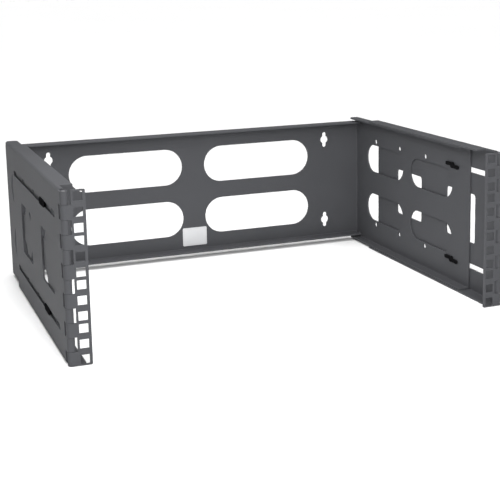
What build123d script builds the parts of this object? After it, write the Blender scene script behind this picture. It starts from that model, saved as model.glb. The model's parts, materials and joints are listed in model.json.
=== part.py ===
"""Hinged wall bracket for 19-inch rack equipment, four units high, with adjustable depth.

All sizes are in millimetres. The wall is the plane Y = 0, the bracket reaches forwards along -Y,
X is to the right and Z is up. The origin is the middle of the back plate's rear face.
"""

from build123d import *
import os

# Sheet metal
sheet = 2.0
bend_inner = 1.0
bend_outer = bend_inner + sheet

# Rack standard
rack_opening = 450.0
rack_hole_inset = 7.55
rack_hole = 9.5
unit_height = 44.45
units_high = 4
rail_height = units_high * unit_height
hole_first_level = 6.35
hole_level_pitch = 15.875
holes_per_unit = 3

# Overall places
rail_to_side = 24.4
overall_width = rack_opening + 2 * rail_to_side
mount_depth = 371.5
front_y = -mount_depth
side_x = overall_width / 2
half_height = rail_height / 2

# Hinge
pin_d = 4.0
pin_clearance = 0.05
pin_bore_r = pin_d / 2 + pin_clearance
knuckle_r = pin_bore_r + sheet
knuckle_count = 12
knuckle_gap = 0.3
knuckle_pitch = rail_height / knuckle_count
knuckle_length = knuckle_pitch - knuckle_gap
barrel_top_trim = 1.0
curl_seam = 0.4
hinge_x = side_x - knuckle_r
hinge_y = front_y + knuckle_r

# Rack rail
rail_strip_width = 14.4
rail_inner_x = rack_opening / 2
rail_edge_x = rail_inner_x + rail_strip_width
rail_corner = 1.5

# Outer arm, its places counted from the rails' front or from its own rear end
arm_wall_gap = 64.9
arm_length = mount_depth - arm_wall_gap
arm_rear_y = front_y + arm_length
arm_lip = 18.4
wall_setback = 12.5
top_lip_setback = 30.0
lip_notch_width = 13.0
bottom_lip_setback = 3.5
bottom_lip_relief = 0.8
lip_corner = 3.0
window_front_land = 57.0
window_rib = 62.0
window_rear_land = 55.1
window_length = (arm_length - window_front_land - window_rib - window_rear_land) / 2
window_edge_land = 59.1
window_height = rail_height - 2 * window_edge_land
window_corner = 4.0
slot_front_land = 35.0
slot_rear_land = 10.6
slot_length = arm_length - slot_front_land - slot_rear_land
slot_width = 6.5

# Wall bracket
slide_gap = 0.2
bracket_x = side_x - sheet - slide_gap
bracket_half_height = half_height - sheet - slide_gap
bracket_front_gap = 66.0
bracket_depth = mount_depth - bracket_front_gap
bracket_lip = 14.7
corner_relief = 4.0

# Back plate
plate_edge_setback = 5.2
plate_half_height = bracket_half_height - plate_edge_setback
plate_lip = 20.0
plate_lip_inset = 4.0
plate_lip_half = bracket_x - plate_lip_inset
plate_window_land = (78.4, 21.55)
plate_window_rib = (31.0, 22.3)
plate_window_length = bracket_x - plate_window_land[0] - plate_window_rib[0] / 2
plate_window_height = plate_half_height - plate_window_land[1] - plate_window_rib[1] / 2
keyhole_inset = (53.2, 24.1)
keyhole_d = 11.0
keyhole_slot = (21.0, 5.5)

# Bracket's arm windows
side_window_land = (35.2, 39.8)
side_window_rib = (19.5, 31.0)
side_window_edge_land = 33.7
side_window_length = (bracket_depth - sum(side_window_land) - side_window_rib[0]) / 2
side_window_height = bracket_half_height - side_window_edge_land - side_window_rib[1] / 2
side_window_rear_y = -side_window_land[0] - side_window_length / 2
side_window_front_y = side_window_rear_y - side_window_length - side_window_rib[0]
side_window_level = (side_window_height + side_window_rib[1]) / 2

# Clamp holes, twelve-sided as the hidden bores of the knuckles and wing nuts are
clamp_edge_land = 30.55
clamp_level = half_height - clamp_edge_land
clamp_hole_d = 6.5
clamp_hole_count = 4
clamp_hole_land = (61.0, 38.4)
clamp_hole_pitch = (bracket_depth - sum(clamp_hole_land)) / (clamp_hole_count - 1)
clamp_y = -bracket_depth + clamp_hole_land[1]
plain_hole_sides = 12

# Clamp bolt and wing nut
bolt_d = 5.0
thread_clearance = 0.05
seat_gap = 0.05
bolt_head = (28.0, 7.8)
bolt_head_thickness = 1.2
bolt_head_corner = 2.6
bolt_neck_length = 16.0
bolt_neck_clearance = 0.2
bolt_overhang = 0.4
nut_hub_d = 8.0
nut_hub_height = 2.6
nut_hub_sides = 16
wing_span = 29.0
wing_thickness = 3.4
wing_offset = 0.5
wing_root = (0.4, 1.9)
wing_tip = (0.4, 2.5)

# Label
label_size = (34.0, 25.0)
label_thickness = 0.2
label_offset = -0.5
label_edge_land = 6.5


def folded_strip(*outer_corners):
    """Section of a folded sheet whose outer face follows the corners, with the sheet on its left."""
    with BuildLine() as outline:
        FilletPolyline(*outer_corners, radius=bend_outer)
        offset(amount=sheet, side=Side.LEFT)
    make_face(outline.edges())


def knuckle_levels(first):
    """Middle height of every second knuckle, counted from the top, starting with the given one."""
    return [half_height - (index + 0.5) * knuckle_pitch for index in range(first, knuckle_count, 2)]


def clamp_seat(side, level, distance, outwards):
    """Plane across a clamp bolt's axis at the distance from the middle of the rack, X to the wall."""
    return Plane(origin=(side * distance, clamp_y, level), x_dir=(0, 1, 0), z_dir=(side * outwards, 0, 0))


def clamp_bolt(side, level):
    """Bolt with a flat oval head over the arm's slot and a neck that keeps it from turning there."""
    head_x = side_x + seat_gap
    shank_end_x = bracket_x - sheet - seat_gap - nut_hub_height - bolt_overhang
    with BuildPart() as bolt:
        with BuildSketch(clamp_seat(side, level, head_x, 1)) as head:
            Rectangle(*bolt_head)
            chamfer(head.vertices(), bolt_head_corner)
        extrude(amount=bolt_head_thickness)
        with BuildSketch(clamp_seat(side, level, head_x, -1)):
            Rectangle(bolt_neck_length, slot_width - 2 * bolt_neck_clearance)
        extrude(amount=sheet)
        with BuildSketch(clamp_seat(side, level, head_x, -1)):
            Circle(bolt_d / 2)
        extrude(amount=head_x - shank_end_x)
    return bolt.part


def wing_nut(side, level):
    """Low wing nut inside the bracket's arm, its two wings along the arm and set off like blades."""
    seat = clamp_seat(side, level, bracket_x - sheet - seat_gap, -1)
    across = Plane(origin=seat.origin, x_dir=seat.x_dir, z_dir=seat.x_dir.cross(seat.z_dir))
    with BuildPart() as nut:
        with BuildSketch(seat):
            RegularPolygon(nut_hub_d / 2, nut_hub_sides, major_radius=False)
        extrude(amount=nut_hub_height)
        for end in (-1, 1):
            with BuildSketch(across.offset(end * wing_offset - wing_thickness / 2)) as wing:
                with BuildLine():
                    Polyline(
                        (0, wing_root[0]),
                        (end * wing_span / 2, wing_tip[0]),
                        (end * wing_span / 2, wing_tip[1]),
                        (end * nut_hub_d / 2, wing_root[1]),
                        (0, wing_root[1]),
                        close=True,
                    )
                make_face()
            extrude(wing.sketch, amount=wing_thickness)
        with BuildSketch(seat):
            RegularPolygon(bolt_d / 2 + thread_clearance, plain_hole_sides, major_radius=False)
        extrude(amount=nut_hub_height, mode=Mode.SUBTRACT)
    return nut.part


# Wall bracket: back plate and two arms folded from one sheet
with BuildPart() as wall_bracket:
    with BuildSketch(Plane.XY.offset(-plate_half_height)):
        folded_strip(
            (bracket_x, -bracket_depth),
            (bracket_x, 0),
            (-bracket_x, 0),
            (-bracket_x, -bracket_depth),
        )
    extrude(amount=2 * plate_half_height)

    # Back plate's lips, turned forwards, with their bends in place of the plate's square edges
    with BuildSketch(Plane.XZ):
        for side in (-1, 1):
            with Locations((0, side * (plate_half_height - bend_outer / 2))):
                Rectangle(2 * plate_lip_half, bend_outer)
    extrude(amount=sheet, mode=Mode.SUBTRACT)
    with BuildSketch(Plane.YZ.offset(-plate_lip_half)):
        folded_strip(
            (-plate_lip, -plate_half_height),
            (0, -plate_half_height),
            (0, plate_half_height),
            (-plate_lip, plate_half_height),
        )
    extrude(amount=2 * plate_lip_half)

    # Arms' lips, turned inwards, whose ends cover the ends of the back plate's lips
    for side in (-1, 1):
        corners = [
            (side * (bracket_x - bracket_lip), bracket_half_height),
            (side * bracket_x, bracket_half_height),
            (side * bracket_x, -bracket_half_height),
            (side * (bracket_x - bracket_lip), -bracket_half_height),
        ]
        with BuildSketch(Plane.XZ.offset(corner_relief)):
            folded_strip(*(corners if side < 0 else reversed(corners)))
        extrude(amount=bracket_depth - corner_relief)

    # Corners of the arms' lips, cut back at both ends
    for end_y, towards in ((-corner_relief, -1), (-bracket_depth, 1)):
        with BuildSketch(Plane.XY.offset(-bracket_half_height)):
            for side in (-1, 1):
                edge_x = side * (bracket_x - bracket_lip)
                with BuildLine():
                    Polyline(
                        (edge_x, end_y),
                        (edge_x + side * lip_corner, end_y),
                        (edge_x, end_y + towards * lip_corner),
                        close=True,
                    )
                make_face()
        extrude(amount=2 * bracket_half_height, mode=Mode.SUBTRACT)

    # Long windows and keyholes in the back plate
    with BuildSketch(Plane.XZ):
        window_pitch = (plate_window_length + plate_window_rib[0], plate_window_height + plate_window_rib[1])
        with GridLocations(*window_pitch, 2, 2):
            SlotOverall(plate_window_length, plate_window_height)
        keyhole_pitch = (2 * (bracket_x - keyhole_inset[0]), 2 * (plate_half_height - keyhole_inset[1]))
        with GridLocations(*keyhole_pitch, 2, 2):
            Circle(keyhole_d / 2)
            SlotOverall(*keyhole_slot, rotation=90)
    extrude(amount=sheet, mode=Mode.SUBTRACT)

    # Windows and clamp holes in both arms
    with BuildSketch(Plane.YZ.offset(-bracket_x)):
        for level in (-side_window_level, side_window_level):
            with Locations((side_window_rear_y, level), (side_window_front_y, level)):
                SlotOverall(side_window_length, side_window_height)
        for index in range(clamp_hole_count):
            hole_y = clamp_y + index * clamp_hole_pitch
            with Locations((hole_y, clamp_level), (hole_y, -clamp_level)):
                RegularPolygon(clamp_hole_d / 2, plain_hole_sides, major_radius=False)
    extrude(amount=2 * bracket_x, mode=Mode.SUBTRACT)

# Outer arm: wall with turned lips, and every odd knuckle rolled from its front edge
with BuildPart() as right_outer_arm:
    lip_edge_x = side_x - arm_lip
    with BuildSketch(Plane.XZ.offset(-arm_rear_y)):
        folded_strip(
            (lip_edge_x, -half_height),
            (side_x, -half_height),
            (side_x, half_height),
            (lip_edge_x, half_height),
        )
    extrude(amount=arm_length - wall_setback)

    # Notch in the front of the top lip
    with BuildSketch(Plane.XY.offset(half_height - sheet)):
        with Locations((lip_edge_x, front_y)):
            Rectangle(lip_notch_width, top_lip_setback, align=(Align.MIN, Align.MIN))
    extrude(amount=sheet, mode=Mode.SUBTRACT)

    # Front of the bottom lip, which reaches up to the rail beside the lowest knuckle
    with BuildSketch(Plane.XY.offset(-half_height)):
        with Locations((lip_edge_x, front_y + bottom_lip_setback)):
            Rectangle(
                arm_lip - 2 * knuckle_r - bottom_lip_relief,
                wall_setback - bottom_lip_setback + sheet,
                align=(Align.MIN, Align.MIN),
            )
    extrude(amount=sheet)

    # Rear corners of both lips, cut back
    with BuildSketch(Plane.XY.offset(-half_height)):
        with BuildLine():
            Polyline(
                (lip_edge_x, arm_rear_y),
                (lip_edge_x + lip_corner, arm_rear_y),
                (lip_edge_x, arm_rear_y - lip_corner),
                close=True,
            )
        make_face()
    extrude(amount=rail_height, mode=Mode.SUBTRACT)

    # Rolled knuckles, each with the seam where the curl meets the wall
    for level in knuckle_levels(0):
        with BuildSketch(Plane.XY.offset(level - knuckle_length / 2)):
            with Locations((side_x, hinge_y)):
                Rectangle(sheet, wall_setback - knuckle_r, align=(Align.MAX, Align.MIN))
            with Locations((hinge_x, hinge_y)):
                Circle(knuckle_r)
                RegularPolygon(pin_bore_r, plain_hole_sides, major_radius=False, mode=Mode.SUBTRACT)
            with Locations((side_x - sheet, hinge_y)):
                Rectangle(curl_seam, knuckle_r, align=(Align.MAX, Align.MIN), mode=Mode.SUBTRACT)
        extrude(amount=knuckle_length)
    with BuildSketch(Plane.XY.offset(half_height - barrel_top_trim)):
        with Locations((side_x, front_y)):
            Rectangle(2 * knuckle_r, wall_setback, align=(Align.MAX, Align.MIN))
    extrude(amount=barrel_top_trim, mode=Mode.SUBTRACT)

    # Windows and clamp slots
    with BuildSketch(Plane.YZ.offset(side_x - sheet)):
        front_window_y = front_y + window_front_land + window_length / 2
        rear_window_y = arm_rear_y - window_rear_land - window_length / 2
        with Locations((front_window_y, 0), (rear_window_y, 0)):
            RectangleRounded(window_length, window_height, window_corner)
        slot_y = front_y + slot_front_land + slot_length / 2
        with Locations((slot_y, clamp_level), (slot_y, -clamp_level)):
            SlotOverall(slot_length, slot_width)
    extrude(amount=sheet, mode=Mode.SUBTRACT)

with BuildPart() as left_outer_arm:
    mirror(right_outer_arm.part, about=Plane.YZ)

# Rack rail: punched strip, and every even knuckle rolled from its outer edge
with BuildPart() as right_rack_rail:
    with BuildSketch(Plane.XZ.offset(-front_y)) as strip:
        with Locations((rail_inner_x, 0)):
            Rectangle(rail_strip_width, rail_height, align=(Align.MIN, Align.CENTER))
        fillet(strip.vertices().group_by(Axis.X)[0], rail_corner)
        for unit in range(units_high):
            unit_level = unit * unit_height - half_height
            for index in range(holes_per_unit):
                hole_level = unit_level + hole_first_level + index * hole_level_pitch
                with Locations((rail_inner_x + rack_hole_inset, hole_level)):
                    Rectangle(rack_hole, rack_hole, mode=Mode.SUBTRACT)
    extrude(amount=-sheet)

    for level in knuckle_levels(1):
        with BuildSketch(Plane.XY.offset(level - knuckle_length / 2)):
            with Locations((rail_edge_x, front_y)):
                Rectangle(hinge_x - rail_edge_x, sheet, align=(Align.MIN, Align.MIN))
            with Locations((hinge_x, hinge_y)):
                Circle(knuckle_r)
                RegularPolygon(pin_bore_r, plain_hole_sides, major_radius=False, mode=Mode.SUBTRACT)
            with Locations((hinge_x, front_y + sheet)):
                Rectangle(knuckle_r, curl_seam, align=(Align.MAX, Align.MIN), mode=Mode.SUBTRACT)
        extrude(amount=knuckle_length)

with BuildPart() as left_rack_rail:
    mirror(right_rack_rail.part, about=Plane.YZ)

# Hinge pins, flush with the ends of the barrel
with BuildPart() as right_hinge_pin:
    with BuildSketch(Plane.XY.offset(-half_height + knuckle_gap / 2)):
        with Locations((hinge_x, hinge_y)):
            Circle(pin_d / 2)
    extrude(amount=rail_height - knuckle_gap / 2 - barrel_top_trim)

with BuildPart() as left_hinge_pin:
    mirror(right_hinge_pin.part, about=Plane.YZ)

# Label on the front of the back plate
with BuildPart() as blank_label:
    with BuildSketch(Plane.XZ.offset(sheet)):
        with Locations((label_offset, -plate_half_height + label_edge_land + label_size[1] / 2)):
            Rectangle(*label_size)
    extrude(amount=label_thickness)

pieces = {
    "wall_bracket": wall_bracket.part,
    "left_outer_arm": left_outer_arm.part,
    "right_outer_arm": right_outer_arm.part,
    "left_rack_rail": left_rack_rail.part,
    "right_rack_rail": right_rack_rail.part,
    "left_hinge_pin": left_hinge_pin.part,
    "right_hinge_pin": right_hinge_pin.part,
    "blank_label": blank_label.part,
}
for side_name, side in (("left", -1), ("right", 1)):
    for level_name, level in (("upper", clamp_level), ("lower", -clamp_level)):
        pieces[f"{side_name}_{level_name}_clamp_bolt"] = clamp_bolt(side, level)
        pieces[f"{side_name}_{level_name}_wing_nut"] = wing_nut(side, level)

os.makedirs("parts", exist_ok=True)
for name, piece in pieces.items():
    piece.label = name
    export_step(piece, f"parts/{name}.step")
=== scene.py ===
"""Looks of a hinged, adjustable 19-inch wall bracket, laid out as an add-on and run as a script.

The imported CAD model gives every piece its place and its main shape. Here the folded sheets get
softened edges and a powder coat, and the pins, clamp bolts, wing nuts and label are modelled in
full. Lengths are in metres: X is to the right, Y into the wall and Z up.
"""

import json
import math

import bmesh
import bpy
from mathutils import Matrix, Vector

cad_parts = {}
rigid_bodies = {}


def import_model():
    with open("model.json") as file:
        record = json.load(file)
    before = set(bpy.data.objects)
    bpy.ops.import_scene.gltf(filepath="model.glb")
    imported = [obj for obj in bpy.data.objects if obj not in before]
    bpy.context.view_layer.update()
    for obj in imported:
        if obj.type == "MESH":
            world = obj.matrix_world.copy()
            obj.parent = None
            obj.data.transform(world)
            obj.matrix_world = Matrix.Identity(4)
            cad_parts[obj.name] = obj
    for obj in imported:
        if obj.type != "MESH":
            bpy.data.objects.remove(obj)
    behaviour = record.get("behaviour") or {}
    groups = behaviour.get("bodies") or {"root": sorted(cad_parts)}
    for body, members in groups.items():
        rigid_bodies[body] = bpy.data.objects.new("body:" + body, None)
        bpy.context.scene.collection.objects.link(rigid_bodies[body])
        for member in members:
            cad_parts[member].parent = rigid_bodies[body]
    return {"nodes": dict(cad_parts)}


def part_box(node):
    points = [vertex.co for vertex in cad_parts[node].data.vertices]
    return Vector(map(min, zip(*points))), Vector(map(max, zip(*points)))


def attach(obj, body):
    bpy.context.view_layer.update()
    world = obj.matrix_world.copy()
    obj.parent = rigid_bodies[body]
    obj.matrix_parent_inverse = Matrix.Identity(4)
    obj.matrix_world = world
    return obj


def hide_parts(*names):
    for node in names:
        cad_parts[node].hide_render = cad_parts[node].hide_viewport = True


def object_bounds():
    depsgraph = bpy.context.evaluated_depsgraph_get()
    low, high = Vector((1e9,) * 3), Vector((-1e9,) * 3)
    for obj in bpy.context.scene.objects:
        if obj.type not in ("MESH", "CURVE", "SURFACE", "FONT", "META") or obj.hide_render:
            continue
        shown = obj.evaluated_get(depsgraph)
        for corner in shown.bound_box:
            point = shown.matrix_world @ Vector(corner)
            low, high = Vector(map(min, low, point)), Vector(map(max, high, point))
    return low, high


bl_info = {
    "name": "Hinged wall bracket looks",
    "version": (1, 0, 0),
    "blender": (4, 5, 0),
    "location": "3D View > Sidebar > Bracket",
    "description": "Finishes and fine pieces of a hinged 19-inch wall bracket",
    "category": "Object",
}

MM = 0.001
TOUCH = 0.01 * MM  # a point this near to a level lies on it
UP = Vector((0, 0, 1))
DOWN = Vector((0, 0, -1))

FOLDED_SHEETS = (
    "wall_bracket",
    "left_outer_arm",
    "right_outer_arm",
    "left_rack_rail",
    "right_rack_rail",
)
PUNCHED_STRIPS = ("left_rack_rail", "right_rack_rail")
CORNERS = ("left_upper", "left_lower", "right_upper", "right_lower")

# Steps of the bolt's crowned face: width in millimetres, and share of the crown's height
CROWN_STEPS = ((0.55, 0.6), (1.1, 0.3), (1.2, 0.1))

# Sections of a wing in millimetres: distance from the bolt, bottom, top and half thickness
WING_SECTIONS = (
    (2.6, 0.45, 2.00, 2.15),
    (5.0, 0.40, 1.75, 2.15),
    (7.5, 0.40, 1.75, 2.15),
    (10.0, 0.40, 2.10, 2.25),
    (12.2, 0.40, 2.45, 2.25),
)
WING_TIP = (0.70, 2.20, 1.70)  # bottom, top and half thickness at the finger end

# Lamps: name, place, target, width and power in watts
LAMPS = (
    ("front_lamp", (-0.2, -1.3, 0.55), (0, -0.1, 0), 0.5, 10.5),
    ("inner_lamp", (-0.2, -0.35, 0.45), (0.25, -0.15, 0), 0.3, 1.9),
)
CEILING_BAND = (0.85, 0.97)  # upward share of a direction at which the ceiling's light sets in
HORIZON_BAND = (0.08, 0.22)  # and at which the horizon's light fades out
FLOOR_WIDTH = 30

CAMERA_PLACE = (-0.4412, -1.4177, 0.2931)
CAMERA_TURN = (79.571, 0.958, -21.490)  # degrees
CAMERA_SHIFT = (-0.04, -0.15)  # shares of the frame

for leftover in list(bpy.data.objects):
    bpy.data.objects.remove(leftover)
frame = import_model()
cad_box = [list(corner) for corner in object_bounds()]


class SheetLook(bpy.types.PropertyGroup):
    """Finish of the folded sheets."""

    coat_color: bpy.props.FloatVectorProperty(
        name="Coat colour",
        description="Middle colour of the powder coat",
        subtype="COLOR",
        size=3,
        min=0,
        max=1,
        default=(0.0612, 0.0625, 0.0675),
    )
    coat_roughness: bpy.props.FloatProperty(
        name="Coat roughness",
        description="Middle roughness of the powder coat",
        subtype="FACTOR",
        min=0,
        max=1,
        default=0.62,
    )
    edge_radius: bpy.props.FloatProperty(
        name="Edge radius",
        description="How far the punched edges are rounded under the coat",
        unit="LENGTH",
        min=0.05 * MM,
        max=0.4 * MM,
        default=0.18 * MM,
    )


class HardwareLook(bpy.types.PropertyGroup):
    """Sizes and colours of the pins, clamp bolts, wing nuts and label."""

    black_color: bpy.props.FloatVectorProperty(
        name="Hardware colour",
        description="Colour of the bolts' and nuts' black oxide",
        subtype="COLOR",
        size=3,
        min=0,
        max=1,
        default=(0.007, 0.007, 0.0075),
    )
    steel_color: bpy.props.FloatVectorProperty(
        name="Pin colour",
        description="Colour of the hinge pins' drawn steel",
        subtype="COLOR",
        size=3,
        min=0,
        max=1,
        default=(0.35, 0.35, 0.36),
    )
    label_color: bpy.props.FloatVectorProperty(
        name="Label colour",
        description="Colour of the label's film",
        subtype="COLOR",
        size=3,
        min=0,
        max=1,
        default=(0.53, 0.535, 0.545),
    )
    head_thickness: bpy.props.FloatProperty(
        name="Head thickness",
        description="Thickness of the clamp bolt's oval head",
        unit="LENGTH",
        default=1.2 * MM,
    )
    neck_length: bpy.props.FloatProperty(
        name="Neck length",
        description="Length of the bolt's neck along the slot",
        unit="LENGTH",
        default=16 * MM,
    )
    neck_height: bpy.props.FloatProperty(
        name="Neck height",
        description="Height of the bolt's neck, a little under the slot's",
        unit="LENGTH",
        default=6.1 * MM,
    )
    neck_depth: bpy.props.FloatProperty(
        name="Neck depth",
        description="How far the bolt's neck reaches through the arm",
        unit="LENGTH",
        default=2 * MM,
    )
    thread_radius: bpy.props.FloatProperty(
        name="Thread radius",
        description="Outer radius of the clamp bolt's thread",
        unit="LENGTH",
        default=2.5 * MM,
    )
    thread_pitch: bpy.props.FloatProperty(
        name="Thread pitch",
        description="Distance between two turns of the thread",
        unit="LENGTH",
        default=0.8 * MM,
    )
    hub_radius: bpy.props.FloatProperty(
        name="Hub radius",
        description="Radius of the wing nut's hub at its seat",
        unit="LENGTH",
        default=3.7 * MM,
    )
    wing_offset: bpy.props.FloatProperty(
        name="Wing offset",
        description="How far each wing stands to the side of the nut's middle line",
        unit="LENGTH",
        default=1.2 * MM,
    )


class StageLook(bpy.types.PropertyGroup):
    """Floor, light and camera."""

    floor_color: bpy.props.FloatVectorProperty(
        name="Floor colour",
        description="Colour of the plain floor",
        subtype="COLOR",
        size=3,
        min=0,
        max=1,
        default=(0.96, 0.96, 0.96),
    )
    even_light: bpy.props.FloatProperty(
        name="Even light",
        description="Brightness of the faint light that comes from all round",
        min=0,
        default=0.16,
    )
    horizon_light: bpy.props.FloatProperty(
        name="Horizon light",
        description="Brightness of the low band that stands behind the floor's far edge",
        min=0,
        default=0.84,
    )
    ceiling_light: bpy.props.FloatProperty(
        name="Ceiling light",
        description="Brightness of the light that comes straight down and keeps the floor pale",
        min=0,
        default=5.3,
    )
    lamp_scale: bpy.props.FloatProperty(
        name="Lamp scale",
        description="Multiplies the power of every lamp",
        min=0,
        default=1.0,
    )
    camera_lens: bpy.props.FloatProperty(
        name="Camera lens",
        description="Focal length of the photograph's view, in millimetres of a 36 mm frame",
        unit="CAMERA",
        default=80.03,
    )


class Flow:
    """A node's output that takes part in Python's arithmetic."""

    def __init__(self, tree, socket):
        self.tree = tree
        self.socket = socket

    def math(self, operation, *values):
        """Result of a Math node on the values, which are flows or numbers."""
        node = self.tree.nodes.new("ShaderNodeMath")
        node.operation = operation
        for slot, value in zip(node.inputs, values):
            if isinstance(value, Flow):
                self.tree.links.new(value.socket, slot)
            else:
                slot.default_value = value
        return Flow(self.tree, node.outputs[0])

    def __add__(self, other):
        return self.math("ADD", self, other)

    def __radd__(self, other):
        return self.math("ADD", other, self)

    def __sub__(self, other):
        return self.math("SUBTRACT", self, other)

    def __rsub__(self, other):
        return self.math("SUBTRACT", other, self)

    def __mul__(self, other):
        return self.math("MULTIPLY", self, other)

    def __rmul__(self, other):
        return self.math("MULTIPLY", other, self)


class Recipe:
    """A material or a world, written as calls and expressions."""

    def __init__(self, tree):
        self.tree = tree
        self.tree.nodes.clear()

    @classmethod
    def material(cls, name):
        """Recipe of a new material."""
        made = bpy.data.materials.new(name)
        made.use_nodes = True
        recipe = cls(made.node_tree)
        recipe.made = made
        return recipe

    def node(self, kind, settings=None, inputs=None, output=0):
        """Adds a node, sets its settings, then its sockets' values or links; gives one output."""
        made = self.tree.nodes.new(kind)
        for name, value in (settings or {}).items():
            if name == "stops":
                for element, (position, shade) in zip(made.color_ramp.elements, value):
                    element.position = position
                    element.color = (shade, shade, shade, 1)
            else:
                setattr(made, name, value)
        for name, value in (inputs or {}).items():
            if isinstance(value, Flow):
                self.tree.links.new(value.socket, made.inputs[name])
            else:
                made.inputs[name].default_value = value
        return Flow(self.tree, made.outputs[output]) if made.outputs else None

    def noise(self, place, scale, detail=2.0, roughness=0.5):
        """Noise between 0 and 1 at so many bumps a metre."""
        inputs = {"Vector": place, "Scale": scale, "Detail": detail, "Roughness": roughness}
        return self.node("ShaderNodeTexNoise", None, inputs, "Fac")

    def blend(self, factor, low, high):
        """Colour between two colours."""
        settings = {"data_type": "RGBA", "clamp_factor": True}
        inputs = {0: factor, 6: (*low, 1), 7: (*high, 1)}
        return self.node("ShaderNodeMix", settings, inputs, 2)

    def ramp(self, factor, low, high):
        """The factor, stretched so that it runs from 0 at low to 1 at high."""
        stops = ((low, 0), (high, 1))
        return self.node("ShaderNodeValToRGB", {"stops": stops}, {"Fac": factor})

    def bump(self, height, depth, strength):
        """Normal of a surface that the height, from 0 to 1, lifts by up to the depth."""
        inputs = {"Height": height, "Distance": depth, "Strength": strength}
        return self.node("ShaderNodeBump", None, inputs, "Normal")

    def finish(self, **inputs):
        """Ends the material in one Principled shader; underscores in socket names are spaces."""
        named = {name.replace("_", " "): value for name, value in inputs.items()}
        shader = self.node("ShaderNodeBsdfPrincipled", None, named)
        self.node("ShaderNodeOutputMaterial", None, {"Surface": shader})
        return self.made


def shade_of(color, factor):
    """The colour, lighter or darker by the factor."""
    return tuple(min(1.0, channel * factor) for channel in color)


def powder_coat(name, color, roughness, lift):
    """Satin powder coat: fine grain on soft orange peel, with faint clouds in its colour."""
    recipe = Recipe.material(name)
    place = recipe.node("ShaderNodeTexCoord", output="Object")
    clouds = recipe.noise(place, scale=14, detail=3)
    grain = recipe.noise(place, scale=2600, detail=2, roughness=0.6)
    peel = recipe.noise(place, scale=620, detail=2)
    specks = recipe.ramp(recipe.noise(place, scale=1500, detail=1), low=0.62, high=0.78)
    tone = 0.5 * clouds + 0.3 * grain + 0.35 * specks
    # A lift above 1 lightens the whole colour; the edge copy uses it as a painted highlight.
    dark = shade_of(color, 0.86 * lift)
    light = shade_of(color, 1.16 * lift)
    return recipe.finish(
        Base_Color=recipe.blend(tone, dark, light),
        Specular_IOR_Level=0.12,
        Roughness=roughness - 0.09 + 0.18 * grain - 0.05 * specks,
        Normal=recipe.bump(0.6 * peel + 0.4 * grain, depth=0.03 * MM, strength=0.7),
    )


def black_oxide(name, color):
    """Black oxide on steel: dark and dull, with a fine grain."""
    recipe = Recipe.material(name)
    place = recipe.node("ShaderNodeTexCoord", output="Object")
    grain = recipe.noise(place, scale=3800, detail=2, roughness=0.6)
    clouds = recipe.noise(place, scale=420, detail=2)
    return recipe.finish(
        Base_Color=recipe.blend(clouds, shade_of(color, 0.5), shade_of(color, 1.6)),
        Specular_IOR_Level=0.0,
        Roughness=0.55 + 0.2 * grain,
        Normal=recipe.bump(grain, depth=0.01 * MM, strength=0.6),
    )


def drawn_steel(name, color):
    """Drawn steel: dull metal with fine lines along the pin."""
    recipe = Recipe.material(name)
    place = recipe.node("ShaderNodeTexCoord", output="Object")
    along = recipe.node("ShaderNodeMapping", None, {"Vector": place, "Scale": (1, 1, 0.02)})
    lines = recipe.noise(along, scale=5200, detail=3, roughness=0.6)
    stains = recipe.noise(place, scale=160, detail=3)
    tone = 0.6 * lines + 0.4 * stains
    return recipe.finish(
        Base_Color=recipe.blend(tone, shade_of(color, 0.7), shade_of(color, 1.15)),
        Metallic=1.0,
        Roughness=0.3 + 0.2 * stains + 0.1 * lines,
        Normal=recipe.bump(lines, depth=0.01 * MM, strength=0.5),
    )


def label_film(name, color, half_width, half_height, middle):
    """Satin white film with a faint fibre and a thin pale printed border, otherwise bare."""
    border_inset = 1.6 * MM
    border_half_width = 0.12 * MM
    recipe = Recipe.material(name)
    place = recipe.node("ShaderNodeTexCoord", output="Object")
    centred = recipe.node(
        "ShaderNodeMapping", None, {"Vector": place, "Location": tuple(-middle)}
    )
    sideways = recipe.node("ShaderNodeSeparateXYZ", None, {"Vector": centred}, "X")
    upward = Flow(recipe.tree, sideways.socket.node.outputs["Z"])
    past_side = sideways.math("ABSOLUTE", sideways) - (half_width - border_inset)
    past_top = upward.math("ABSOLUTE", upward) - (half_height - border_inset)
    past_border = past_side.math("MAXIMUM", past_side, past_top)
    line = past_border.math("COMPARE", past_border, 0.0, border_half_width)
    fibre = recipe.noise(place, scale=900, detail=3, roughness=0.6)
    paper = recipe.blend(fibre, shade_of(color, 0.95), shade_of(color, 1.04))
    inputs = {0: 0.35 * line, 6: paper, 7: (*shade_of(color, 0.35), 1)}
    return recipe.finish(
        Base_Color=recipe.node("ShaderNodeMix", {"data_type": "RGBA"}, inputs, 2),
        Roughness=0.4 + 0.12 * fibre,
        Normal=recipe.bump(fibre, depth=0.01 * MM, strength=0.5),
    )


def painted_floor(name, color):
    """Plain matt floor with a trace of unevenness."""
    recipe = Recipe.material(name)
    place = recipe.node("ShaderNodeTexCoord", output="Object")
    clouds = recipe.noise(place, scale=0.8, detail=2)
    return recipe.finish(
        Base_Color=recipe.blend(clouds, shade_of(color, 0.99), shade_of(color, 1.01)),
        Roughness=0.85 + 0.05 * clouds,
    )


def only(obj):
    """Leaves this object alone selected and active."""
    bpy.ops.object.select_all(action="DESELECT")
    obj.select_set(True)
    bpy.context.view_layer.objects.active = obj
    return obj


def newest(name):
    """Names the object that an operator has left active."""
    obj = bpy.context.view_layer.objects.active
    obj.name = name
    return only(obj)


def freeze():
    """Moves the active object's place and scale into its mesh."""
    bpy.ops.object.transform_apply(location=True, rotation=True, scale=True)


def edit():
    bpy.ops.object.mode_set(mode="EDIT")


def leave_edit():
    bpy.ops.object.mode_set(mode="OBJECT")


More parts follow.
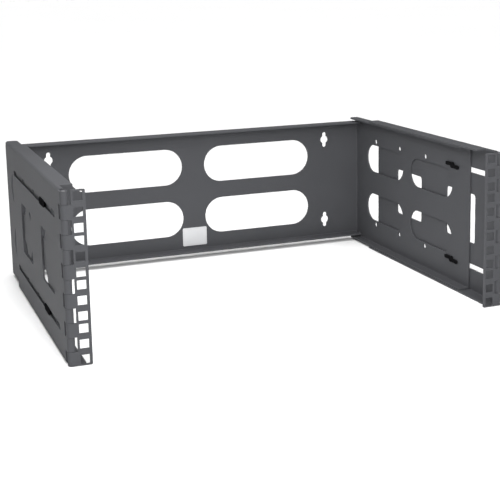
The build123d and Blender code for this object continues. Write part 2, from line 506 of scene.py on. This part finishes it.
def pick(element, test):
    """Selects in edit mode the vertices, edges or faces that pass the test."""
    bpy.ops.mesh.select_mode(type=element)
    bpy.ops.mesh.select_all(action="DESELECT")
    mesh = bpy.context.edit_object.data
    shape = bmesh.from_edit_mesh(mesh)
    items = {"VERT": shape.verts, "EDGE": shape.edges, "FACE": shape.faces}[element]
    for item in items:
        if test(item):
            item.select_set(True)
    shape.select_flush_mode()
    bmesh.update_edit_mesh(mesh)


def pick_faces(direction):
    """Selects in edit mode the faces that look in this direction."""
    pick("FACE", lambda face: face.normal.dot(direction) > 0.99)


def pick_level_edges(level, min_radius=0.0):
    """Selects in edit mode the edges at this height, outside this radius round the Z axis."""
    pick("EDGE", lambda edge: all(
        abs(vertex.co.z - level) < TOUCH and vertex.co.xy.length >= min_radius
        for vertex in edge.verts
    ))


def pick_long_edges(axis, least):
    """Selects in edit mode the edges that run more than this length along the axis."""
    pick("EDGE", lambda edge: abs(edge.verts[0].co[axis] - edge.verts[1].co[axis]) > least)


def outward_normals():
    bpy.ops.mesh.select_all(action="SELECT")
    bpy.ops.mesh.normals_make_consistent(inside=False)


def modify(obj, kind, **settings):
    """Adds a modifier with these settings and applies it."""
    only(obj)
    modifier = obj.modifiers.new(kind.title(), kind)
    for name, value in settings.items():
        setattr(modifier, name, value)
    bpy.ops.object.modifier_apply(modifier=modifier.name)


def hold_inside(obj, low, high):
    """Brings back the few points that a bevel's sharp corners throw out of the box."""
    for vertex in obj.data.vertices:
        for axis in range(3):
            vertex.co[axis] = min(max(vertex.co[axis], low[axis]), high[axis])


def smooth(obj, degrees):
    """Shades smooth over all edges that turn by less than this angle."""
    only(obj)
    bpy.ops.object.shade_smooth_by_angle(angle=math.radians(degrees))


def joined(name, *parts):
    """Joins the parts into the first one."""
    only(parts[0])
    for part in parts[1:]:
        part.select_set(True)
    bpy.ops.object.join()
    return newest(name)


def placed_copy(pattern, name, origin, x_axis, z_axis):
    """A copy whose object stays at zero while its mesh lies at the origin, along these axes."""
    y_axis = z_axis.cross(x_axis)
    turn = Matrix((x_axis, y_axis, z_axis)).transposed().to_4x4()
    copy = bpy.data.objects.new(name, pattern.data.copy())
    bpy.context.scene.collection.objects.link(copy)
    copy.data.transform(Matrix.Translation(origin) @ turn)
    return copy


def outer_seat(node, inset):
    """The node's side, 1 or -1, and the middle of its outer face, moved inwards by the inset."""
    low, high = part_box(node)
    middle = (low + high) / 2
    side = 1 if middle.x > 0 else -1
    seat_x = side * (max(abs(low.x), abs(high.x)) - inset)
    return side, Vector((seat_x, middle.y, middle.z))


def remove(obj):
    only(obj)
    bpy.ops.object.delete()


def clad(obj, *materials):
    obj.data.materials.clear()
    for material in materials:
        obj.data.materials.append(material)


class RACK_OT_folded_sheets(bpy.types.Operator):
    """Gives the bracket, arms and rails softened edges and their powder coat, lighter on the edges
    as a painted highlight
    """

    bl_idname = "rack.folded_sheets"
    bl_label = "Folded sheets"

    def execute(self, context):
        merge_distance = 0.002 * MM
        flat_angle = math.radians(0.3)
        least_edge_angle = math.radians(50)
        look = context.scene.sheet_look
        color = look.coat_color
        coat = powder_coat("powder_coat", color, look.coat_roughness, lift=1.0)
        # The bevels' faces get a lighter copy of the coat: a painted highlight along every
        # softened edge.
        rim = powder_coat("powder_coat_edge_highlight", color, look.coat_roughness - 0.08, lift=1.3)
        for node in FOLDED_SHEETS:
            sheet = bpy.data.objects.new(f"{node}_coated", frame["nodes"][node].data.copy())
            context.scene.collection.objects.link(sheet)
            only(sheet)
            edit()
            bpy.ops.mesh.select_all(action="SELECT")
            bpy.ops.mesh.remove_doubles(threshold=merge_distance)
            bpy.ops.mesh.dissolve_limited(angle_limit=flat_angle)
            if node in PUNCHED_STRIPS:
                bpy.ops.mesh.vert_connect_concave()
            leave_edit()
            clad(sheet, coat, rim)
            modify(
                sheet,
                "BEVEL",
                width=look.edge_radius,
                segments=2,
                limit_method="ANGLE",
                angle_limit=least_edge_angle,
                use_clamp_overlap=False,
                material=1,
                miter_outer="MITER_ARC",
            )
            hold_inside(sheet, *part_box(node))
            smooth(sheet, 33)
            modify(sheet, "WEIGHTED_NORMAL", keep_sharp=True, weight=80)
            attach(sheet, node)
            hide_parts(node)
        return {"FINISHED"}


class RACK_OT_hinge_pins(bpy.types.Operator):
    """Turns the two hinge pins, with rounded and slightly dished ends"""

    bl_idname = "rack.hinge_pins"
    bl_label = "Hinge pins"

    def execute(self, context):
        end_rounding = 0.35 * MM
        rim_width = 0.45 * MM
        dish_depth = 0.12 * MM
        steel = drawn_steel("drawn_steel", context.scene.hardware_look.steel_color)
        for side in ("left", "right"):
            node = f"{side}_hinge_pin"
            low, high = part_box(node)
            bpy.ops.object.select_all(action="DESELECT")
            bpy.ops.mesh.primitive_cylinder_add(
                vertices=40, radius=(high.x - low.x) / 2, depth=high.z - low.z
            )
            pin = newest(f"{node}_turned")
            edit()
            pick("FACE", lambda face: abs(face.normal.z) > 0.9)
            bpy.ops.mesh.bevel(offset=end_rounding, segments=2, affect="EDGES")
            for outward in (DOWN, UP):
                pick_faces(outward)
                bpy.ops.mesh.inset(thickness=rim_width)
                bpy.ops.transform.translate(value=-dish_depth * outward)
            outward_normals()
            leave_edit()
            pin.data.transform(Matrix.Translation((low + high) / 2))
            clad(pin, steel)
            smooth(pin, 35)
            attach(pin, f"{side}_outer_arm")
            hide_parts(node)
        return {"FINISHED"}


class RACK_OT_clamp_bolts(bpy.types.Operator):
    """Models the clamp bolt with its oval head, neck and thread, and sets it in the four places"""

    bl_idname = "rack.clamp_bolts"
    bl_label = "Clamp bolts"

    def oval_head(self, look, length, height):
        """Flat oval head with a crowned face, its seat at zero."""
        wall = 0.62 * look.head_thickness
        crown = look.head_thickness - wall
        rim_rounding = 0.12 * MM
        bpy.ops.object.select_all(action="DESELECT")
        bpy.ops.mesh.primitive_cylinder_add(
            vertices=48, radius=height / 2, depth=wall, location=(0, 0, wall / 2)
        )
        head = newest("bolt_head")
        freeze()
        edit()
        for end in (-1, 1):
            pick("VERT", lambda vertex: end * vertex.co.x > TOUCH)
            bpy.ops.transform.translate(value=(end * (length - height) / 2, 0, 0))
        pick_faces(UP)
        for width, share in CROWN_STEPS:
            bpy.ops.mesh.inset(thickness=width * MM, depth=share * crown)
        for level in (wall, 0):
            pick_level_edges(level)
            bpy.ops.mesh.bevel(offset=rim_rounding, segments=2, affect="EDGES")
        leave_edit()
        return head

    def square_neck(self, look):
        """Neck that fills the slot's height and keeps the bolt from turning."""
        lap = 0.1 * MM
        corner_radius = 1.4 * MM
        rim_width = 0.25 * MM
        bpy.ops.object.select_all(action="DESELECT")
        bpy.ops.mesh.primitive_cube_add(size=1, location=(0, 0, -look.neck_depth / 2 + lap))
        neck = newest("bolt_neck")
        neck.scale = (look.neck_length, look.neck_height, look.neck_depth)
        freeze()
        edit()
        pick_long_edges(2, 0.5 * look.neck_depth)
        bpy.ops.mesh.bevel(offset=corner_radius, segments=4, affect="EDGES")
        pick_faces(DOWN)
        bpy.ops.mesh.inset(thickness=rim_width)
        bpy.ops.transform.translate(value=lap * DOWN)
        leave_edit()
        return neck

    def threaded_shank(self, look, length):
        """Core with a slightly hollow end, and one helical ridge round it."""
        groove_depth = 0.61 * look.thread_pitch
        minor = look.thread_radius - groove_depth
        rim_width = 0.3 * MM
        hollow_depth = 0.02 * MM
        bpy.ops.object.select_all(action="DESELECT")
        bpy.ops.mesh.primitive_cylinder_add(
            vertices=32, radius=minor, depth=length, location=(0, 0, -length / 2)
        )
        core = newest("bolt_core")
        freeze()
        edit()
        pick_faces(DOWN)
        bpy.ops.mesh.inset(thickness=rim_width)
        bpy.ops.transform.translate(value=hollow_depth * UP)
        leave_edit()

        # The ridge's section, whose foot stands a little inside the core
        foot_radius = minor - 0.05 * MM
        half_foot = 0.44 * look.thread_pitch
        half_crest = 0.06 * look.thread_pitch
        start = -length + half_foot
        section = (
            (foot_radius, start - half_foot),
            (look.thread_radius, start - half_crest),
            (look.thread_radius, start + half_crest),
            (foot_radius, start + half_foot),
        )
        bpy.ops.object.select_all(action="DESELECT")
        bpy.ops.mesh.primitive_plane_add(size=1)
        ridge = newest("bolt_thread")
        edit()
        shape = bmesh.from_edit_mesh(ridge.data)
        face = next(iter(shape.faces))
        for vertex, (radius, level) in zip([loop.vert for loop in face.loops], section):
            vertex.co = Vector((radius, 0, level))
        bmesh.update_edit_mesh(ridge.data)
        bpy.ops.mesh.select_all(action="SELECT")
        bpy.ops.mesh.delete(type="ONLY_FACE")
        leave_edit()
        modify(
            ridge,
            "SCREW",
            axis="Z",
            angle=math.tau,
            screw_offset=look.thread_pitch,
            iterations=int((length - look.neck_depth - half_foot) / look.thread_pitch),
            steps=32,
            render_steps=32,
            use_merge_vertices=False,
        )
        edit()
        bpy.ops.mesh.select_mode(type="EDGE")
        bpy.ops.mesh.select_all(action="DESELECT")
        bpy.ops.mesh.select_non_manifold(
            extend=False, use_multi_face=False, use_non_contiguous=False
        )
        bpy.ops.mesh.fill_holes(sides=0)
        outward_normals()
        leave_edit()
        return core, ridge

    def execute(self, context):
        look = context.scene.hardware_look
        low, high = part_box("right_upper_clamp_bolt")
        head = self.oval_head(look, high.y - low.y, high.z - low.z)
        neck = self.square_neck(look)
        core, ridge = self.threaded_shank(look, high.x - low.x - look.head_thickness)
        pattern = joined("bolt_pattern", head, neck, core, ridge)
        clad(pattern, black_oxide("black_oxide_bolt", look.black_color))
        smooth(pattern, 32)
        along_slot = Vector((0, 1, 0))
        for corner in CORNERS:
            node = f"{corner}_clamp_bolt"
            side, seat = outer_seat(node, look.head_thickness)
            outward = Vector((side, 0, 0))
            bolt = placed_copy(pattern, f"{node}_threaded", seat, along_slot, outward)
            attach(bolt, "wall_bracket")
            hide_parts(node)
        remove(pattern)
        return {"FINISHED"}


class RACK_OT_wing_nuts(bpy.types.Operator):
    """Models the low wing nut with its bored hub and two wings, and sets it in the four places"""

    bl_idname = "rack.wing_nuts"
    bl_label = "Wing nuts"

    def bored_hub(self, look, height):
        """Tapered hub with a bore for the bolt."""
        taper = 0.88
        play = 0.05 * MM
        bore = look.thread_radius + play
        rim_rounding = 0.35 * MM
        outside_bore = 0.8 * look.hub_radius
        bpy.ops.object.select_all(action="DESELECT")
        bpy.ops.mesh.primitive_cylinder_add(
            vertices=48, radius=look.hub_radius, depth=height, location=(0, 0, height / 2)
        )
        hub = newest("nut_hub")
        freeze()
        edit()
        pick("VERT", lambda vertex: vertex.co.z > height / 2)
        bpy.ops.transform.resize(value=(taper, taper, 1), center_override=(0, 0, height))
        for outward, radius in ((DOWN, look.hub_radius), (UP, taper * look.hub_radius)):
            pick_faces(outward)
            bpy.ops.mesh.inset(thickness=radius - bore)
            bpy.ops.mesh.delete(type="FACE")
        pick("EDGE", lambda edge: edge.is_boundary)
        bpy.ops.mesh.bridge_edge_loops()
        pick_level_edges(height, min_radius=outside_bore)
        bpy.ops.mesh.bevel(offset=rim_rounding, segments=3, affect="EDGES")
        outward_normals()
        leave_edit()
        return hub

    def cast_wing(self, look, reach):
        """One wing along X: it dips beside the hub, rises to its finger end and rounds off."""
        first = WING_SECTIONS[0][0] * MM
        edge_rounding = 0.35 * MM
        bpy.ops.object.select_all(action="DESELECT")
        bpy.ops.mesh.primitive_cube_add(size=1, location=((first + reach) / 2, 0, 0.5 * MM))
        wing = newest("nut_wing")
        wing.scale = (reach - first, 2 * MM, MM)
        freeze()
        edit()
        for along, *_ in WING_SECTIONS[1:]:
            bpy.ops.mesh.select_all(action="SELECT")
            bpy.ops.mesh.bisect(plane_co=(along * MM, 0, 0), plane_no=(1, 0, 0))
        for along, low, high, half in (*WING_SECTIONS, (reach / MM, *WING_TIP)):
            pick("VERT", lambda vertex: abs(vertex.co.x - along * MM) < TOUCH)
            bpy.ops.transform.resize(value=(1, half, high - low), center_override=(0, 0, 0))
            bpy.ops.transform.translate(value=(0, 0, low * MM))
        bpy.ops.mesh.select_all(action="SELECT")
        bpy.ops.transform.translate(value=(0, -look.wing_offset, 0))
        leave_edit()
        modify(
            wing,
            "BEVEL",
            width=edge_rounding,
            segments=2,
            limit_method="ANGLE",
            angle_limit=math.radians(40),
        )
        modify(wing, "SUBSURF", levels=1, render_levels=1)
        return wing

    def execute(self, context):
        look = context.scene.hardware_look
        low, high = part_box("right_upper_wing_nut")
        hub = self.bored_hub(look, high.x - low.x)
        front = self.cast_wing(look, (high.y - low.y) / 2)
        rear = placed_copy(front, "nut_wing_rear", Vector(), Vector((-1, 0, 0)), UP)
        pattern = joined("nut_pattern", hub, front, rear)
        clad(pattern, black_oxide("black_oxide_nut", look.black_color))
        smooth(pattern, 36)
        along_wings = Vector((0, 1, 0))
        for corner in CORNERS:
            node = f"{corner}_wing_nut"
            side, seat = outer_seat(node, 0)
            inward = Vector((-side, 0, 0))
            nut = placed_copy(pattern, f"{node}_cast", seat, along_wings, inward)
            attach(nut, node)
            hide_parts(node)
        remove(pattern)
        return {"FINISHED"}


class RACK_OT_blank_label(bpy.types.Operator):
    """Lays the bare label with rounded corners on the back plate"""

    bl_idname = "rack.blank_label"
    bl_label = "Blank label"

    def execute(self, context):
        corner_radius = 1.5 * MM
        inset_width = 0.25 * MM
        rim_width = 0.2 * MM
        rim_drop = 0.1 * MM
        low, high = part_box("blank_label")
        middle = (low + high) / 2
        size = high - low
        bpy.ops.object.select_all(action="DESELECT")
        bpy.ops.mesh.primitive_cube_add(size=1)
        label = newest("blank_label_film")
        label.scale = size
        freeze()
        edit()
        pick_long_edges(1, 0.5 * size.y)
        bpy.ops.mesh.bevel(offset=corner_radius, segments=6, affect="EDGES")
        pick_faces(Vector((0, -1, 0)))
        bpy.ops.mesh.inset(thickness=inset_width)
        pick("VERT", lambda vertex: vertex.co.y < 0 and any(
            abs(vertex.co[axis]) > size[axis] / 2 - rim_width for axis in (0, 2)
        ))
        bpy.ops.transform.translate(value=(0, rim_drop, 0))
        outward_normals()
        leave_edit()
        label.data.transform(Matrix.Translation(middle))
        color = context.scene.hardware_look.label_color
        clad(label, label_film("label_film", color, size.x / 2, size.z / 2, middle))
        smooth(label, 20)
        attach(label, "wall_bracket")
        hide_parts("blank_label")
        return {"FINISHED"}


class RACK_OT_studio(bpy.types.Operator):
    """Lays the pale floor, hangs the soft lamps and sets the camera at the photograph's view"""

    bl_idname = "rack.studio"
    bl_label = "Studio"

    def lamp(self, name, place, target, width, power):
        """Square soft lamp that faces the target."""
        facing = (Vector(target) - Vector(place)).to_track_quat("-Z", "Y").to_euler()
        bpy.ops.object.select_all(action="DESELECT")
        bpy.ops.object.light_add(type="AREA", location=place, rotation=facing)
        lamp = newest(name)
        lamp.data.shape = "SQUARE"
        lamp.data.size = width
        lamp.data.energy = power

    def air(self, look):
        """World that is bright straight above and low at the horizon, and dim in between."""
        world = bpy.data.worlds.new("studio_air")
        world.use_nodes = True
        air = Recipe(world.node_tree)
        facing = air.node("ShaderNodeTexCoord", output="Generated")
        above = air.node("ShaderNodeSeparateXYZ", None, {"Vector": facing}, "Z")
        ceiling = look.ceiling_light * air.ramp(above, *CEILING_BAND)
        horizon = look.horizon_light * (1.0 - air.ramp(above, *HORIZON_BAND))
        strength = look.even_light + horizon + ceiling
        white = {"Color": (1, 1, 1, 1), "Strength": strength}
        sky = air.node("ShaderNodeBackground", None, white)
        air.node("ShaderNodeOutputWorld", None, {"Surface": sky})
        return world

    def execute(self, context):
        look = context.scene.stage_look
        bpy.ops.object.select_all(action="DESELECT")
        bpy.ops.mesh.primitive_plane_add(size=FLOOR_WIDTH, location=(0, 0, cad_box[0][2]))
        floor = newest("floor")
        clad(floor, painted_floor("painted_floor", look.floor_color))

        for name, place, target, width, power in LAMPS:
            self.lamp(name, place, target, width, power * look.lamp_scale)
        context.scene.world = self.air(look)
        context.scene.view_settings.view_transform = "Standard"

        bpy.ops.object.select_all(action="DESELECT")
        bpy.ops.object.camera_add(
            location=CAMERA_PLACE, rotation=[math.radians(angle) for angle in CAMERA_TURN]
        )
        camera = newest("camera")
        camera.data.sensor_width = 36
        camera.data.lens = look.camera_lens
        camera.data.shift_x, camera.data.shift_y = CAMERA_SHIFT
        context.scene.camera = camera
        return {"FINISHED"}


STEPS = (
    RACK_OT_folded_sheets,
    RACK_OT_hinge_pins,
    RACK_OT_clamp_bolts,
    RACK_OT_wing_nuts,
    RACK_OT_blank_label,
    RACK_OT_studio,
)
GROUPS = {"sheet_look": SheetLook, "hardware_look": HardwareLook, "stage_look": StageLook}


class RACK_PT_looks(bpy.types.Panel):
    """Lists the steps and their settings in the 3D view's sidebar"""

    bl_idname = "RACK_PT_looks"
    bl_label = "Wall bracket"
    bl_space_type = "VIEW_3D"
    bl_region_type = "UI"
    bl_category = "Bracket"

    def draw(self, context):
        layout = self.layout
        for group in GROUPS:
            look = getattr(context.scene, group)
            box = layout.box()
            for name in look.__annotations__:
                box.prop(look, name)
        for step in STEPS:
            layout.operator(step.bl_idname)


def register():
    for kind in (*GROUPS.values(), *STEPS, RACK_PT_looks):
        bpy.utils.register_class(kind)
    for name, group in GROUPS.items():
        setattr(bpy.types.Scene, name, bpy.props.PointerProperty(type=group))


def unregister():
    for name in GROUPS:
        delattr(bpy.types.Scene, name)
    for kind in (RACK_PT_looks, *reversed(STEPS), *GROUPS.values()):
        bpy.utils.unregister_class(kind)


def main():
    register()
    bpy.ops.rack.folded_sheets()
    bpy.ops.rack.hinge_pins()
    bpy.ops.rack.clamp_bolts()
    bpy.ops.rack.wing_nuts()
    bpy.ops.rack.blank_label()
    bpy.ops.rack.studio()


if __name__ == "__main__":
    main()
